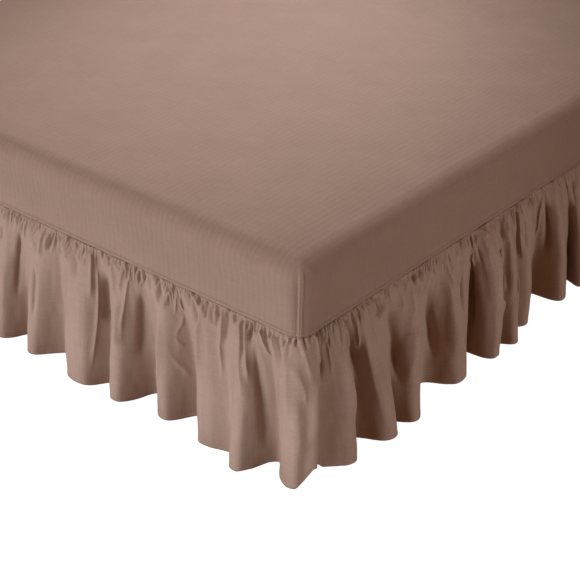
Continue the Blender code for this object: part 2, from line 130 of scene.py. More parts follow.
# ---------------------------------------------------------------- creases placed one by one
# Ridges and tucks by size. Each path is (cloth length in mm, per cent of the drop) points,
# height = how far the cloth stands out there (minus for a tuck), width = half width, edge = 1
# for a sharp crease and 2 for a soft fold.
Creases = namedtuple("Creases", "height width edge paths")
CREASES = (
    Creases(0.0030, 0.0056, 1.7, (
        ((1209, 47), (1240, 56), (1269, 65), (1279, 68)), ((1229, 37), (1248, 41), (1266, 44)),
        ((1283, 19), (1261, 27), (1242, 32), (1229, 37)),
    )),
    Creases(0.0050, 0.0036, 1.1, (
        ((277, 1), (286, 11)), ((312, 1), (318, 12)), ((336, 2), (354, 10)), ((491, 2), (514, 9)),
        ((543, 4), (537, 11), (530, 19)), ((579, 4), (569, 12), (560, 19)),
        ((589, 7), (602, 18), (639, 25)), ((722, 2), (740, 6)), ((751, 3), (754, 9), (754, 15)),
        ((781, 4), (787, 16)), ((878, 1), (889, 4)), ((925, 3), (944, 7), (964, 9)),
        ((943, 1), (967, 8)), ((1108, 1), (1105, 15)), ((1194, 3), (1208, 8)),
        ((1202, 1), (1219, 7)), ((1268, 2), (1256, 11), (1245, 17), (1233, 22)),
        ((1435, 2), (1426, 10)), ((1459, 2), (1450, 8), (1445, 14)), ((1475, 2), (1470, 9)),
        ((1516, 0), (1526, 5), (1539, 9)), ((1530, 1), (1542, 8)),
        ((1547, 2), (1549, 8), (1554, 17)), ((1614, 1), (1611, 9)), ((1678, 3), (1687, 8)),
        ((1772, 1), (1777, 6)), ((1806, 0), (1804, 8)), ((1822, 0), (1812, 6)),
        ((1931, 0), (1927, 5)), ((1955, 2), (1940, 8)), ((2135, 3), (2131, 12)),
        ((2163, 2), (2161, 7)), ((2199, 1), (2194, 8), (2177, 15)),
        ((2255, 1), (2261, 8), (2264, 15)), ((2308, 3), (2317, 9)), ((2395, 3), (2379, 7)),
        ((2494, 5), (2530, 12), (2553, 17)), ((2635, 5), (2629, 13), (2632, 22)),
        ((2759, 6), (2710, 11), (2678, 15)), ((2894, 3), (2916, 8), (2939, 12)),
        ((2979, 1), (2953, 8)), ((3007, 1), (3003, 10), (2995, 18)),
        ((3035, 3), (3049, 11), (3059, 18)), ((3238, 0), (3215, 7)), ((3322, 3), (3315, 16)),
        ((3359, 1), (3342, 11), (3324, 20)), ((3440, 0), (3434, 9), (3444, 20)),
        ((3609, 24), (3573, 25), (3520, 31)), ((3632, 0), (3623, 9), (3646, 18)),
        ((3697, 0), (3684, 6)),
    )),
    Creases(0.0078, 0.0062, 1.1, (
        ((386, 1), (406, 9), (406, 20)), ((406, 20), (409, 39), (382, 62)),
        ((445, 2), (477, 9), (505, 17)), ((519, 5), (515, 14), (512, 25)),
        ((618, 3), (647, 10), (681, 16), (687, 21)), ((686, 2), (727, 8), (754, 15)),
        ((838, 5), (831, 25), (822, 50), (814, 68), (805, 92)),
        ((900, 2), (923, 7), (942, 16), (944, 28)), ((983, 0), (971, 8), (964, 17), (961, 24)),
        ((1007, 1), (1006, 7), (993, 15), (983, 26), (976, 41), (975, 57)),
        ((1151, 0), (1171, 9), (1185, 15), (1194, 21)),
        ((1194, 22), (1190, 34), (1188, 55), (1185, 78)),
        ((1238, 3), (1218, 10), (1202, 16), (1195, 21)), ((1305, 2), (1292, 10), (1283, 19)),
        ((1384, 0), (1409, 4), (1422, 8)), ((1425, 8), (1413, 21), (1409, 38), (1408, 57)),
        ((1501, 3), (1489, 15), (1478, 26), (1476, 38), (1470, 47)),
        ((1558, 3), (1567, 15), (1573, 30), (1581, 41), (1576, 52)),
        ((1577, 3), (1585, 17), (1588, 26), (1597, 41)),
        ((1643, 3), (1657, 10), (1675, 16), (1692, 20)),
        ((1702, 3), (1710, 11), (1724, 18), (1751, 28), (1763, 34)),
        ((1774, 14), (1783, 23), (1793, 34), (1800, 48)),
        ((1779, 36), (1784, 49), (1786, 67), (1785, 82)),
        ((1785, 1), (1792, 7), (1798, 15), (1804, 24), (1807, 34)),
        ((1824, 25), (1812, 33), (1809, 48), (1807, 67), (1806, 80)),
        ((1829, 1), (1826, 9), (1824, 18), (1824, 25)),
        ((1855, 1), (1889, 12), (1908, 25), (1912, 36)),
        ((1946, 9), (1956, 21), (1962, 35), (1963, 51), (1963, 68)),
        ((2036, 1), (2029, 12), (2009, 21), (1969, 26)),
        ((2087, 1), (2100, 12), (2105, 24), (2101, 31)),
        ((2171, 5), (2169, 15), (2169, 25), (2171, 35)),
        ((2171, 35), (2172, 50), (2175, 66), (2180, 84)),
        ((2230, 1), (2234, 7), (2234, 12), (2216, 14), (2189, 20)),
        ((2278, 2), (2294, 9), (2301, 17), (2308, 24)),
        ((2323, 3), (2332, 13), (2340, 22), (2344, 33)),
        ((2347, 4), (2361, 10), (2364, 17), (2354, 22)),
        ((2456, 4), (2447, 11), (2395, 18), (2356, 24)),
        ((2589, 8), (2612, 17), (2625, 24), (2634, 33)),
        ((2637, 34), (2646, 47), (2654, 62), (2660, 78)),
        ((2678, 7), (2678, 17), (2657, 26), (2636, 34)),
        ((2773, 3), (2805, 16), (2830, 25), (2832, 32)),
        ((2856, 4), (2888, 10), (2905, 16), (2901, 26)),
        ((2958, 11), (2997, 19), (3014, 28), (3026, 41)),
        ((3029, 42), (3030, 54), (2931, 58), (2931, 72)),
        ((3059, 2), (3071, 13), (3069, 27), (3071, 40)), ((3071, 40), (3076, 57), (3071, 74)),
        ((3149, 1), (3174, 10), (3175, 24), (3181, 36), (3190, 46)),
        ((3271, 1), (3290, 12), (3299, 26), (3260, 42)),
        ((3425, 0), (3403, 15), (3394, 31), (3386, 50)),
        ((3555, 0), (3535, 12), (3526, 24), (3520, 38), (3517, 53)),
        ((3724, 2), (3711, 12), (3696, 22)),
    )),
    Creases(0.0100, 0.0115, 1.5, (
        ((813, 4), (806, 16), (800, 36)), ((961, 24), (962, 44), (962, 62)),
        ((1739, 2), (1756, 9), (1766, 19), (1766, 29), (1769, 43), (1763, 62)),
        ((2344, 33), (2341, 47), (2344, 63)), ((3046, 13), (3052, 29), (3055, 47), (3054, 66)),
        ((3496, 0), (3489, 11), (3487, 25), (3490, 40)),
    )),
    Creases(0.0110, 0.0170, 1.6, (
        ((1945, 16), (1953, 33), (1954, 54), (1955, 76)),
        ((2128, 9), (2134, 26), (2143, 55), (2157, 89)),
        ((2337, 20), (2338, 34), (2338, 51), (2338, 74)),
        ((2600, 15), (2618, 31), (2630, 56), (2637, 83)),
        ((2951, 13), (2928, 28), (2914, 47), (2906, 69)), ((3204, 11), (3196, 29), (3190, 46)),
        ((3492, 16), (3491, 36), (3490, 57), (3487, 78)),
    )),
    Creases(-0.0064, 0.0034, 1.1, (
        ((259, 1), (266, 6)), ((290, 1), (298, 5)), ((323, 1), (331, 5)), ((413, 0), (431, 4)),
        ((472, 1), (496, 6)), ((524, 2), (530, 8)), ((597, 3), (601, 10)), ((740, 2), (746, 7)),
        ((769, 3), (765, 8)), ((778, 8), (783, 14)), ((792, 2), (794, 6)), ((951, 3), (961, 6)),
        ((972, 1), (970, 6)), ((995, 1), (988, 6)), ((1133, 0), (1148, 3)),
        ((1199, 0), (1215, 5)), ((1233, 3), (1214, 9), (1204, 13)), ((1291, 1), (1282, 5)),
        ((1348, 1), (1369, 5)), ((1395, 0), (1427, 4)), ((1470, 2), (1462, 9), (1461, 15)),
        ((1539, 1), (1547, 6)), ((1583, 1), (1586, 8)), ((1632, 2), (1624, 9)),
        ((1692, 3), (1701, 9)), ((1724, 2), (1730, 6)), ((1747, 1), (1756, 6)),
        ((1797, 0), (1798, 9)), ((1815, 0), (1806, 5)), ((1863, 0), (1850, 2)),
        ((1885, 0), (1882, 4)), ((1898, 7), (1910, 16)), ((1962, 0), (1940, 4)),
        ((2126, 0), (2115, 5)), ((2152, 1), (2153, 5)), ((2198, 0), (2193, 4)),
        ((2273, 1), (2280, 6)), ((2294, 1), (2300, 6)), ((2337, 3), (2347, 9)),
        ((2524, 2), (2549, 8)), ((2621, 5), (2625, 12)), ((2663, 4), (2669, 9)),
        ((2810, 3), (2823, 10)), ((2912, 2), (2911, 5)), ((2942, 2), (2937, 5)),
        ((2989, 1), (2981, 9)), ((3191, 0), (3179, 6)), ((3669, 0), (3646, 3)),
    )),
    Creases(-0.0102, 0.0050, 1.2, (
        ((272, 14), (281, 25)), ((349, 1), (373, 6)), ((495, 29), (500, 50), (501, 72)),
        ((562, 3), (555, 10), (543, 18)), ((860, 1), (871, 4)), ((1027, 0), (1036, 5)),
        ((1048, 3), (1049, 12)), ((1067, 0), (1082, 4), (1062, 14)),
        ((1167, 1), (1183, 7), (1195, 14)), ((1254, 1), (1251, 6)), ((1418, 1), (1425, 6)),
        ((1450, 1), (1443, 8), (1439, 13)), ((1484, 1), (1484, 5), (1468, 15)),
        ((1512, 1), (1508, 9), (1493, 24)), ((1565, 2), (1573, 15), (1581, 28)),
        ((1660, 3), (1674, 10)), ((1717, 4), (1733, 13), (1749, 20)), ((1766, 1), (1771, 5)),
        ((1780, 1), (1781, 6)), ((1992, 1), (1978, 10), (1972, 21)), ((2176, 1), (2174, 4)),
        ((2212, 3), (2212, 10), (2185, 15)), ((2246, 1), (2249, 9)),
        ((2372, 3), (2382, 8), (2367, 11)), ((2469, 3), (2491, 9)), ((2703, 1), (2712, 6)),
        ((2846, 9), (2874, 24), (2880, 45)), ((3315, 0), (3301, 8)), ((3430, 0), (3414, 5)),
        ((3621, 0), (3587, 2)),
    )),
    Creases(-0.0125, 0.0092, 1.4, (
        ((368, 9), (357, 37), (353, 70)), ((432, 2), (474, 13), (503, 23)), ((894, 2), (892, 9)),
        ((1370, 1), (1381, 7), (1401, 13), (1411, 20)), ((1601, 2), (1596, 8), (1596, 14)),
        ((1847, 0), (1843, 10), (1868, 25), (1868, 39)),
        ((2727, 11), (2690, 23), (2678, 38), (2680, 59)),
        ((2822, 19), (2818, 36), (2818, 56), (2827, 81)), ((2885, 28), (2885, 41), (2882, 57)),
        ((3018, 2), (3026, 10), (3027, 22)), ((3083, 1), (3098, 9), (3098, 19)),
        ((3213, 10), (3197, 26), (3198, 41)),
    )),
    Creases(-0.0150, 0.0150, 1.6, (
        ((656, 1), (686, 7), (723, 14), (746, 21), (751, 27)),
        ((878, 11), (865, 26), (859, 44), (932, 52)), ((1052, 15), (1048, 40), (1039, 71)),
        ((1615, 11), (1624, 27), (1641, 47), (1655, 70), (1660, 91)),
        ((2036, 3), (2054, 18), (2079, 36), (2092, 53)),
        ((2252, 10), (2269, 27), (2281, 44), (2301, 73)),
        ((2487, 13), (2521, 33), (2549, 58), (2566, 83)),
        ((3435, 5), (3453, 24), (3450, 48), (3443, 68)), ((3696, 6), (3693, 18), (3682, 31)),
    )),
)
# A crease fades in and out over these shares of its length: from the seam, or out in the cloth.
SEAM_FADES, FREE_FADES, NEAR_SEAM = (0.05, 0.35), (0.3, 0.3), 0.05

# ---------------------------------------------------------------- gathers under the seam
# Three sizes of tuck, each from its least to its most: gap = cloth between neighbours, depth,
# width = half width at the seam, reach = share of the drop. edge = 1 for a sharp bottom and 2 for
# a round one, merge = how far a tuck runs over to the main dip beside it.
Tucks = namedtuple("Tucks", "gap depth width reach edge merge")
TUCKS = (
    Tucks((0.006, 0.013), (0.0034, 0.0070), (0.0024, 0.0036), (0.06, 0.19), 1.05, 0.10),
    Tucks((0.026, 0.050), (0.0050, 0.0100), (0.0060, 0.0085), (0.14, 0.42), 1.25, 0.30),
    Tucks((0.060, 0.105), (0.0070, 0.0130), (0.0110, 0.0160), (0.35, 0.75), 1.50, 0.45),
)
TUCK_SEED = 11
TUCK_WIDEN = 0.9  # how much wider a tuck is at its end
TUCK_FADES, TUCK_MERGES = (0.03, 0.7), (0.2, 1.0)
TUCK_BEND, TUCK_STRAY = 0.35, 0.003  # how far a tuck has run over at half its reach
PLACED_TO = 3.80  # up to this cloth length only the smallest tucks are added to the listed ones
# The crease down each main dip beyond that length.
DIP_DEPTH, DIP_WIDTH, DIP_REACH, DIP_EDGE, DIP_WIDEN = 0.0100, 0.0130, 0.62, 1.3, 0.4
DIP_FADES, DIP_STRAY = (0.05, 0.75), 0.012
# Down the drop: share of the drop, and how far the gathers puff the cloth out there.
PUFF = (
    (0.0, -0.0020), (0.0035, 0.0012), (0.0065, 0.0036), (0.0100, 0.0048), (0.03, 0.0060),
    (0.12, 0.0060), (0.30, 0.0048), (0.55, 0.0030), (0.85, 0.0006), (1.0, 0.0),
)
# The stitched line above the hem, in the same way.
HEM_STITCH = (
    (0.9650, 0.0), (0.9685, 0.0), (0.972, -0.0004), (0.978, 0.0005), (1.0, 0.0005),
)
# Slow unevenness all over: size across and down the cloth, seed and height.
Unevenness = namedtuple("Unevenness", "across down seed height")
SWAY, CRUMPLE = Unevenness(0.060, 0.24, 5, 0.0026), Unevenness(0.018, 0.09, 8, 0.0008)


def seam_points(at):
    """Plan points x, y and the outward directions at places along the seam."""
    at = np.mod(at, PERIMETER)
    sides, starts = np.array(SIDES), np.array(CORNERS)
    corner_x = np.array((-1, 1, 1, -1)) * BED_LENGTH / 2
    corner_y = np.array((-1, -1, 1, 1)) * BED_WIDTH / 2
    side = np.searchsorted(starts, at, side="right") - 1
    from_start = at - starts[side]
    from_end = sides[side] - from_start
    along = side * math.pi / 2
    early = np.clip(1 - from_start / CORNER_RADIUS, 0, 1)
    late = np.clip(1 - from_end / CORNER_RADIUS, 0, 1)
    outward = along - math.pi / 2 + (late - early) * math.pi / 4
    corner = np.where(late > 0, (side + 1) % 4, side)
    turning = (early + late) > 0
    centre_x = corner_x[corner] - np.sign(corner_x[corner]) * CORNER_RADIUS
    centre_y = corner_y[corner] - np.sign(corner_y[corner]) * CORNER_RADIUS
    x = corner_x[side] + from_start * np.cos(along)
    y = corner_y[side] + from_start * np.sin(along)
    x = np.where(turning, centre_x + CORNER_RADIUS * np.cos(outward), x)
    y = np.where(turning, centre_y + CORNER_RADIUS * np.sin(outward), y)
    return x, y, np.cos(outward), np.sin(outward)


def far_folds():
    """The folds on the rest of the way round, in order."""
    rows = []
    for run in FAR_RUNS:
        pitch = (run.end - run.start) / run.pitches
        for index in range(1, run.pitches):
            phase = PHASE_STEP * (len(rows) + 1)
            ridge = run.start + pitch * (index + FAR_SHIFT * math.sin(phase))
            dip = ridge - pitch * (0.5 + FAR_SHIFT * math.cos(DIP_PACE * phase))
            out = FAR_OUT + FAR_OUT_CHANGE * math.sin(OUT_PACE * phase)
            low = FAR_DIP + FAR_DIP_CHANGE * math.cos(LOW_PACE * phase)
            root = ridge + FAR_LEAN * math.sin(LEAN_PACE * phase)
            rows.append(Fold(dip, low, ridge, out, FAR_CROWN, FAR_SWELL, root))
        if run.corner_at_end:
            dip = run.end - pitch / 2
            rows.append(Fold(dip, FAR_DIP, run.end, CORNER_OUT, CORNER_CROWN, FAR_SWELL, run.end))
    return rows


def curve_between(before, start, end, after, share):
    """A point on the centripetal curve from start to end, at a share of the way."""
    knots = [0.0]
    for first, second in ((before, start), (start, end), (end, after)):
        knots.append(knots[-1] + math.sqrt(np.linalg.norm(second - first)))
    k0, k1, k2, k3 = knots
    k = k1 + (k2 - k1) * share
    a1 = ((k1 - k) * before + (k - k0) * start) / (k1 - k0)
    a2 = ((k2 - k) * start + (k - k1) * end) / (k2 - k1)
    a3 = ((k3 - k) * end + (k - k2) * after) / (k3 - k2)
    b1 = ((k2 - k) * a1 + (k - k0) * a2) / (k2 - k0)
    b2 = ((k3 - k) * a2 + (k - k1) * a3) / (k3 - k1)
    return ((k2 - k) * b1 + (k - k1) * b2) / (k2 - k1)


def three_turns(values, turn):
    """Values for the turn before, this turn round the bed and the next."""
    return np.concatenate([values - turn, values, values + turn])


class FrillCurve:
    """The hem's line, unrolled: place along the seam and distance outside it, by cloth length."""

    def __init__(self, folds):
        named, swells, roots = [], [], []
        for before, fold in zip([folds[-1]] + folds[:-1], folds):
            shoulder = fold.ridge_out - TIP_FALL
            named.append((fold.dip_at, fold.dip_out))
            named.append((fold.ridge_at - fold.crown, shoulder))
            named.append((fold.ridge_at + fold.crown, shoulder))
            swells += [fold.swell] * 3
            root_before = before.root - (PERIMETER if before is folds[-1] else 0.0)
            roots += [(root_before + fold.root) / 2, fold.root - fold.crown, fold.root + fold.crown]
        ring = three_turns(np.array(named), np.array((PERIMETER, 0.0)))
        swells = three_turns(np.array(swells), 0.0)
        roots = three_turns(np.array(roots), PERIMETER)
        first, last = len(named), 2 * len(named)
        points = []
        for index in range(first, last):
            for step in range(CURVE_STEPS):
                points.append(curve_between(*ring[index - 1 : index + 3], step / CURVE_STEPS))
        points.append(ring[last])
        self.points = np.array(points)
        lengths = np.linalg.norm(np.diff(self.points, axis=0), axis=1)
        self.length = np.concatenate([[0.0], np.cumsum(lengths)])
        self.total = self.length[-1]
        shares = np.arange(len(points)) / CURVE_STEPS
        named_shares = np.arange(last - first + 1)
        self.swell = np.interp(shares, named_shares, swells[first : last + 1])
        self.place_roots(np.interp(shares, named_shares, roots[first : last + 1]))

    def place_roots(self, roots):
        """The place along the seam that each length of cloth is gathered to, evened out."""
        self.even = np.linspace(0.0, self.total, EVEN_STEPS)
        slope = PERIMETER / self.total
        excess = np.interp(self.even, self.length, roots) - self.even * slope
        spread = GATHER_SPREAD / self.total * EVEN_STEPS
        reach = int(3 * spread)
        weights = np.exp(-0.5 * (np.arange(-reach, reach + 1) / spread) ** 2)
        padded = np.concatenate([excess[-reach - 1 : -1], excess, excess[1 : reach + 1]])
        self.roots = np.convolve(padded, weights / weights.sum(), "valid") + self.even * slope

    def fold_start(self, fold):
        """Cloth length at the dip before a fold."""
        return self.length[3 * fold * CURVE_STEPS]

    def surface(self, lengths, rows):
        """The cloth's middle surface, as a grid of points, with the place of each at the seam."""
        hem_at = np.interp(lengths, self.length, self.points[:, 0])[:, None]
        hem_out = np.interp(lengths, self.length, self.points[:, 1])[:, None]
        swell = np.interp(lengths, self.length, self.swell)[:, None]
        root = np.interp(lengths, self.even, self.roots)[:, None]
        above = 1 - rows[None, :]
        place = root + (hem_at - root) * (1 - above ** (swell * LEAN))
        out = hem_out * (1 - above**swell)
        step = np.diff(rows)[None, :] * FRILL_DROP
        fall = np.sqrt(np.maximum(step**2 - np.diff(out, axis=1) ** 2, 0.0))
        height = np.concatenate([np.zeros_like(root), -np.cumsum(fall, axis=1)], axis=1)
        height += SEAM_HEIGHT - GAP
        height += np.interp(hem_at, *zip(*HEM_LIFT)) * rows[None, :] ** HEM_LIFT_POWER
        x, y, out_x, out_y = seam_points(place)
        return np.stack([x + out_x * out, y + out_y * out, height], axis=2)


# ---------------------------------------------------------------- wrinkle fields
def ease(values):
    """From 0 to 1 and held there, with a soft start and end."""
    values = np.clip(values, 0, 1)
    return values * values * (3 - 2 * values)


def wavering(lengths, rows, across, down, seed, total):
    """Smooth unevenness from -1 to 1 over the cloth, the same at both ends of its length."""
    columns = max(4, round(total / across))
    knots = np.random.RandomState(seed).uniform(-1, 1, (columns, int(1 / down) + 3))
    at = lengths / total * columns
    low = np.floor(at).astype(int)
    share = ease(at - low)[:, None]
    first, second = knots[low % columns], knots[(low + 1) % columns]
    by_column = first * (1 - share) + second * share
    at = rows / down
    low = np.floor(at).astype(int)
    share = ease(at - low)[None, :]
    return by_column[:, low] * (1 - share) + by_column[:, low + 1] * share


def press(relief, lengths, rows, path, height, width, edge, fades, widen=0.0):
    """Raises or sinks one crease along a path of (cloth length, share of the drop) points."""
    path = np.array(path) * (1.0, FRILL_DROP)
    reach = 3 * width * (1 + widen)
    drops = rows * FRILL_DROP
    low, high = np.searchsorted(lengths, (path[:, 0].min() - reach, path[:, 0].max() + reach))
    first, last = np.searchsorted(drops, (path[:, 1].min() - reach, path[:, 1].max() + reach))
    if low == high or first == last:
        return
    across, down = np.meshgrid(lengths[low:high], drops[first:last], indexing="ij")
    nearest = np.full(across.shape, np.inf)
    along = np.zeros(across.shape)
    runs = np.linalg.norm(np.diff(path, axis=0), axis=1)
    for start, end, run, before in zip(path, path[1:], runs, np.cumsum(runs) - runs):
        step = (end - start) / run
        share = np.clip((across - start[0]) * step[0] + (down - start[1]) * step[1], 0, run)
        away = np.hypot(across - start[0] - share * step[0], down - start[1] - share * step[1])
        closer = away < nearest
        nearest = np.where(closer, away, nearest)
        along = np.where(closer, (before + share) / runs.sum(), along)
    taper = ease(along / fades[0]) * ease((1 - along) / fades[1])
    shape = np.exp(-((nearest / (width * (1 + widen * along))) ** edge))
    relief[low:high, first:last] += height * taper * shape


def press_round(relief, lengths, rows, total, path, *sizes):
    """Presses one crease, also where it runs past the place at which the cloth's length starts."""
    for turn in (-total, 0.0, total):
        press(relief, lengths, rows, [(at + turn, drop) for at, drop in path], *sizes)


def gather_relief(lengths, rows, curve):
    """The tucks under the seam, which run out or join the main dips lower down."""
    relief = np.zeros((len(lengths), len(rows)))
    folds = len(curve.length) // (3 * CURVE_STEPS)
    dips = np.array([curve.fold_start(fold) for fold in range(folds + 1)])
    random = np.random.RandomState(TUCK_SEED)
    for tucks in TUCKS:
        at = 0.0
        while at < curve.total:
            at += random.uniform(*tucks.gap)
            depth, width, reach = (random.uniform(*limits) for limits in tucks[1:4])
            dip = dips[np.abs(dips - at).argmin()]
            end = at + (dip - at) * tucks.merge * random.uniform(*TUCK_MERGES)
            bend = at + (end - at) * TUCK_BEND + random.uniform(-TUCK_STRAY, TUCK_STRAY)
            path = ((at, 0.0), (bend, reach / 2), (end, reach))
            if at > PLACED_TO or tucks is TUCKS[0]:
                sizes = (-depth, width, tucks.edge, TUCK_FADES, TUCK_WIDEN)
                press_round(relief, lengths, rows, curve.total, path, *sizes)
    for dip in dips[dips > PLACED_TO]:
        side = random.uniform(-DIP_STRAY, DIP_STRAY)
        path = ((dip + side, 0.0), (dip + side / 2, 0.2), (dip, DIP_REACH))
        sizes = (-DIP_DEPTH, DIP_WIDTH, DIP_EDGE, DIP_FADES, DIP_WIDEN)
        press_round(relief, lengths, rows, curve.total, path, *sizes)
    return relief + np.interp(rows, *zip(*PUFF))[None, :]


def crease_relief(lengths, rows, total):
    """The listed creases."""
    relief = np.zeros((len(lengths), len(rows)))
    for kind in CREASES:
        for path in kind.paths:
            path = [(at / 1000, drop / 100) for at, drop in path]
            fades = SEAM_FADES if path[0][1] < NEAR_SEAM else FREE_FADES
            sizes = (kind.height, kind.width, kind.edge, fades)
            press_round(relief, lengths, rows, total, path, *sizes)
    return relief


def soft_relief(lengths, rows, total):
    """The cloth's slight sway and crumple all over, except close under the seam."""
    sway, crumple = (
        wavering(lengths, rows, kind.across, kind.down, kind.seed, total) * kind.height
        for kind in (SWAY, CRUMPLE)
    )
    return (sway + crumple) * ease(rows / 0.1)[None, :]


def cloth_rows(top_to, spacing, below):
    top = np.arange(TOP_FROM, top_to, spacing)
    low = np.linspace(top[-1], LOW_TO, below)[1:]
    return np.concatenate([SEAM_ROWS, top, low, HEM_ROWS])


def grid_normals(points):
    """The outward directions of a grid of points."""
    along = np.gradient(points, axis=0)
    down = np.gradient(points, axis=1)
    normals = np.cross(down, along)
    return normals / np.linalg.norm(normals, axis=2, keepdims=True)


def grid_mesh(name, points, across, down):
    """A sheet of quads through a grid of points, with its cloth lengths as the UV map."""
    columns, rows = points.shape[:2]
    index = np.arange(columns * rows).reshape(columns, rows)
    quads = np.stack([index[:-1, :-1], index[:-1, 1:], index[1:, 1:], index[1:, :-1]], axis=2)
    quads = quads.reshape(-1, 4)
    mesh = bpy.data.meshes.new(name)
    mesh.vertices.add(columns * rows)
    mesh.vertices.foreach_set("co", points.reshape(-1))
    mesh.loops.add(quads.size)
    mesh.loops.foreach_set("vertex_index", quads.reshape(-1))
    mesh.polygons.add(len(quads))
    mesh.polygons.foreach_set("loop_start", np.arange(0, quads.size, 4))
    mesh.update(calc_edges=True)
    flat = np.stack(np.meshgrid(across, down, indexing="ij"), axis=2).reshape(-1, 2)
    layer = mesh.uv_layers.new(name="cloth")
    layer.data.foreach_set("uv", flat[quads.reshape(-1)].reshape(-1))
    mesh.validate()
    piece = bpy.data.objects.new(name, mesh)
    bpy.context.scene.collection.objects.link(piece)
    mesh.shade_smooth()
    return piece


def thicken(piece, thickness):
    """Gives a sheet its thickness, inwards from its face."""
    solidify = piece.modifiers.new("cloth", "SOLIDIFY")
    solidify.thickness = thickness
    solidify.offset = -1.0
    solidify.use_rim = True


def build_frill(material):
    """The frill's strips. Neighbours meet because their ends take the same places and normals."""
    curve = FrillCurve(list(FRONT_FOLDS) + far_folds())
    first = 0
    for strip in STRIPS:
        start, end = curve.fold_start(first), curve.fold_start(first + strip.folds)
        first += strip.folds
        lengths = np.linspace(start, end, round((end - start) / strip.column) + 1)
        rows = cloth_rows(*(FINE_ROWS if strip.node == "frill_front" else PLAIN_ROWS))
        middle = curve.surface(lengths, rows)
        relief = gather_relief(lengths, rows, curve) + crease_relief(lengths, rows, curve.total)
        relief += soft_relief(lengths, rows, curve.total)
        relief += np.interp(rows, *zip(*HEM_STITCH))[None, :]
        normals = grid_normals(middle)
        beside = [place + step for place in (start, end) for step in (-BESIDE, 0.0, BESIDE)]
        around = curve.surface(np.array(beside) % curve.total, rows)
        normals[[0, -1]] = grid_normals(around)[[1, 4]]
        points = middle + normals * relief[:, :, None]
        piece = grid_mesh(strip.name, points, lengths, rows * FRILL_DROP)
        thicken(piece, CLOTH)
        piece.data.materials.append(material)
        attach(piece, "root")
        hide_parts(strip.node)


# ---------------------------------------------------------------- the fitted cover
COVER_CLOTH = 0.0016
TOP_EDGE_RADIUS, EDGE_STEPS = 0.052, 14
EDGE_BULGE = 0.0070  # how far the soft top edge stands outside and above its plain box
CROWN, CROWN_REACH, CROWN_START = 0.0060, 0.080, 0.012  # the rise from the edge to the middle
TOP_SPAN, TOP_RINGS, TOP_SPREAD = 0.820, 30, 1.3  # from the top's edge in to the last ring
CORNER_FALL, FALL_REACH = 0.006, 0.075  # how the near corner's top is drawn down, and how far off
FALL_FROM, FALL_RISE = 0.130, 0.045  # heights above the seam over which that sets in
WAVER, WAVER_PACE, WAVER_REACH = 0.00035, 61, 0.05  # the stitching's slight sway above the seam
PUCKER, PUCKER_WIDTH, PUCKER_STEPS = 0.0034, 0.009, 8  # the corner seam's rise on to the edge
LEAST_RADIUS = 0.002  # of the upright corners, where the top edge draws them in
# Up the wall: height above the seam, and how far the cloth stands out there.
BAND_PROFILE = (
    (0.0000, 0.0010), (0.0005, 0.0024), (0.0016, 0.0034), (0.0042, 0.0035), (0.0067, 0.0031),
    (0.0079, 0.0019), (0.0090, 0.0008), (0.0108, 0.0004), (0.0150, 0.0005), (0.0200, 0.0006),
    (0.0320, 0.0007), (0.0460, 0.0009), (0.0620, 0.0014), (0.0780, 0.0024), (0.0920, 0.0037),
    (0.1040, 0.0050), (0.1140, 0.0060), (0.1230, 0.0067), (0.1350, 0.0070),
)
# Across the corner seam: place either side of it, and how far it stands out.
WELT_PROFILE = (
    (-0.0300, -0.0004), (-0.0220, -0.0010), (-0.0150, -0.0018), (-0.0100, -0.0026),
    (-0.0080, -0.0030), (-0.0062, -0.0026), (-0.0050, 0.0004), (-0.0040, 0.0024),
    (-0.0028, 0.0028), (-0.0014, 0.0019), (0.0006, 0.0016), (0.0022, 0.0023), (0.0036, 0.0028),
    (0.0048, 0.0021), (0.0060, 0.0004), (0.0074, -0.0004), (0.0105, -0.0005), (0.0200, 0.0),
    (0.0300, 0.0),
)
WELT_TOP, WELT_END = 0.156, 0.014  # the height at which the welt runs out, and over how much
SIDE_SPACING = 0.0160  # between places on the plain parts of the wall
FLAT_UP = 0.75  # faces that look up more than this are laid out with the top panel


def wall_places():
    """Places round the wall, close together at the four corner seams, with the welt's relief."""
    places, relief = [], []
    reach = WELT_PROFILE[-1][0]
    for corner, side in zip(CORNERS, SIDES):
        for offset, proud in WELT_PROFILE:
            places.append(corner + offset)
            relief.append(proud)
        count = round((side - 2 * reach) / SIDE_SPACING)
        for step in range(1, count):
            places.append(corner + reach + (side - 2 * reach) * step / count)
            relief.append(0.0)
    return np.array(places), np.array(relief)


def welt_away(places):
    """Distance along the seam from the nearest corner seam."""
    return np.abs(places[:, None] - np.array((*CORNERS, PERIMETER))).min(axis=1)


def welt_share(above):
    """How much of the welt stands out at a height above the seam."""
    return 1 - ease((above - WELT_TOP) / WELT_END)


